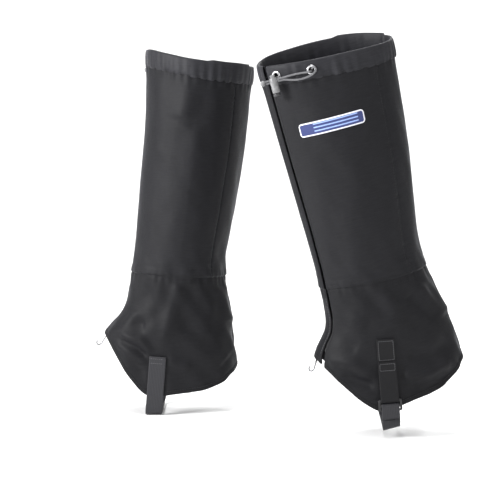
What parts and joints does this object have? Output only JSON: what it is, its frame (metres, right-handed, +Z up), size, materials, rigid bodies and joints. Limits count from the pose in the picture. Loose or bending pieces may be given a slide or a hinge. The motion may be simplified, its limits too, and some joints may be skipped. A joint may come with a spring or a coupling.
{
  "type": "hiking gaiters",
  "caption": "Mirrored pair of knee-high hiking gaiters with a front hook-and-loop closure, drawcord top and instep straps.",
  "frame": {"origin": "middle of the top face of the right gaiter's instep strap, where the arch of the boot rests", "axes": "-X toward the toes, +X toward the heels, +Z up the leg, +Y toward the outer side of the right leg (the left gaiter stands on the -Y side)"},
  "size_m": [0.4816, 0.344, 0.507],
  "materials": {
    "cloth": "matt coated oxford weave",
    "trim": "matt folded edge",
    "webbing": "ribbed webbing",
    "tape": "hook and loop pile",
    "strap": "smooth coated webbing",
    "cord": "braided elastic",
    "lock_grey": "satin moulded",
    "lock_dark": "satin moulded",
    "buckle": "moulded",
    "chrome": "polished",
    "label": "printed patch"
  },
  "bodies": {
    "root": {"right_upper_outer_panel": "cloth", "right_upper_back_panel": "cloth", "right_upper_inner_panel": "cloth", "right_lower_outer_panel": "cloth", "right_lower_inner_panel": "cloth", "right_top_hem": "cloth", "right_bottom_hem": "trim", "right_loop_tape": "tape", "right_front_facing": "cloth", "right_drawcord": "cord", "right_drawcord_upper_end": "cord", "right_drawcord_lower_end": "cord", "right_cord_bead": "lock_grey", "right_eyelet_front": "chrome", "right_eyelet_rear": "chrome", "right_webbing_tab": "webbing", "right_webbing_loop": "webbing", "right_instep_strap": "strap", "right_lace_hook_tab": "trim", "right_label_patch": "label", "left_upper_outer_panel": "cloth", "left_upper_back_panel": "cloth", "left_upper_inner_panel": "cloth", "left_lower_outer_panel": "cloth", "left_lower_inner_panel": "cloth", "left_top_hem": "cloth", "left_bottom_hem": "trim", "left_loop_tape": "tape", "left_front_facing": "cloth", "left_drawcord": "cord", "left_drawcord_upper_end": "cord", "left_drawcord_lower_end": "cord", "left_cord_bead": "lock_grey", "left_eyelet_front": "chrome", "left_eyelet_rear": "chrome", "left_webbing_tab": "webbing", "left_webbing_loop": "webbing", "left_instep_strap": "strap", "left_lace_hook_tab": "trim", "left_label_patch": "label"},
    "right_flap": {"right_front_flap": "cloth", "right_hook_tape": "tape"},
    "right_cord_lock": {"right_cord_lock_barrel": "lock_grey", "right_cord_lock_cap": "lock_dark", "right_cord_lock_spring": "chrome"},
    "right_lock_button": {"right_cord_lock_button": "lock_grey"},
    "right_buckle": {"right_buckle": "buckle", "right_strap_end": "strap"},
    "right_lace_hook": {"right_lace_hook": "chrome"},
    "left_flap": {"left_front_flap": "cloth", "left_hook_tape": "tape"},
    "left_cord_lock": {"left_cord_lock_barrel": "lock_grey", "left_cord_lock_cap": "lock_dark", "left_cord_lock_spring": "chrome"},
    "left_lock_button": {"left_cord_lock_button": "lock_grey"},
    "left_buckle": {"left_buckle": "buckle", "left_strap_end": "strap"},
    "left_lace_hook": {"left_lace_hook": "chrome"}
  },
  "joints": [
    {"name": "right_flap_fold", "type": "hinge", "parent": "root", "child": "right_flap", "pos_m": [-0.00204, 0.04661, 0.31], "axis": [-0.0927, -0.0348, -0.9951], "range_deg": [0, 100]},
    {"name": "right_cord_lock_slide", "type": "slide", "parent": "root", "child": "right_cord_lock", "axis": [0.9305, 0.3663, 0], "range_m": [-0.003, 0.008], "deforming": ["right_drawcord_upper_end", "right_drawcord_lower_end"]},
    {"name": "right_lock_button_press", "type": "slide", "parent": "right_cord_lock", "child": "right_lock_button", "axis": [0, 0, -1], "range_m": [0, 0.003], "stiffness_N_per_m": 600, "deforming": ["right_cord_lock_spring"]},
    {"name": "right_buckle_tilt", "type": "hinge", "parent": "root", "child": "right_buckle", "pos_m": [0.00555, 0.05539, 0.03642], "axis": [0.9842, 0, -0.1771], "range_deg": [0, 35]},
    {"name": "right_lace_hook_swing", "type": "hinge", "parent": "root", "child": "right_lace_hook", "pos_m": [-0.07059, 0, 0.09531], "axis": [0, 1, 0], "range_deg": [-30, 30]},
    {"name": "left_flap_fold", "type": "hinge", "parent": "root", "child": "left_flap", "pos_m": [0.20544, -0.24, 0.30397], "axis": [-0.2559, -0.0747, 0.9638], "range_deg": [0, 100]},
    {"name": "left_cord_lock_slide", "type": "slide", "parent": "root", "child": "left_cord_lock", "axis": [0.9415, -0.2404, 0.2361], "range_m": [-0.003, 0.008], "deforming": ["left_drawcord_upper_end", "left_drawcord_lower_end"]},
    {"name": "left_lock_button_press", "type": "slide", "parent": "left_cord_lock", "child": "left_lock_button", "axis": [0.2588, 0.0674, -0.9636], "range_m": [0, 0.003], "stiffness_N_per_m": 600, "deforming": ["left_cord_lock_spring"]},
    {"name": "left_buckle_tilt", "type": "hinge", "parent": "root", "child": "left_buckle", "pos_m": [0.30394, -0.23781, 0.04666], "axis": [-0.9965, 0.0058, -0.0835], "range_deg": [0, 35]},
    {"name": "left_lace_hook_swing", "type": "hinge", "parent": "root", "child": "left_lace_hook", "pos_m": [0.21181, -0.18504, 0.08611], "axis": [0, 0.9976, 0.0698], "range_deg": [-30, 30]}
  ]
}
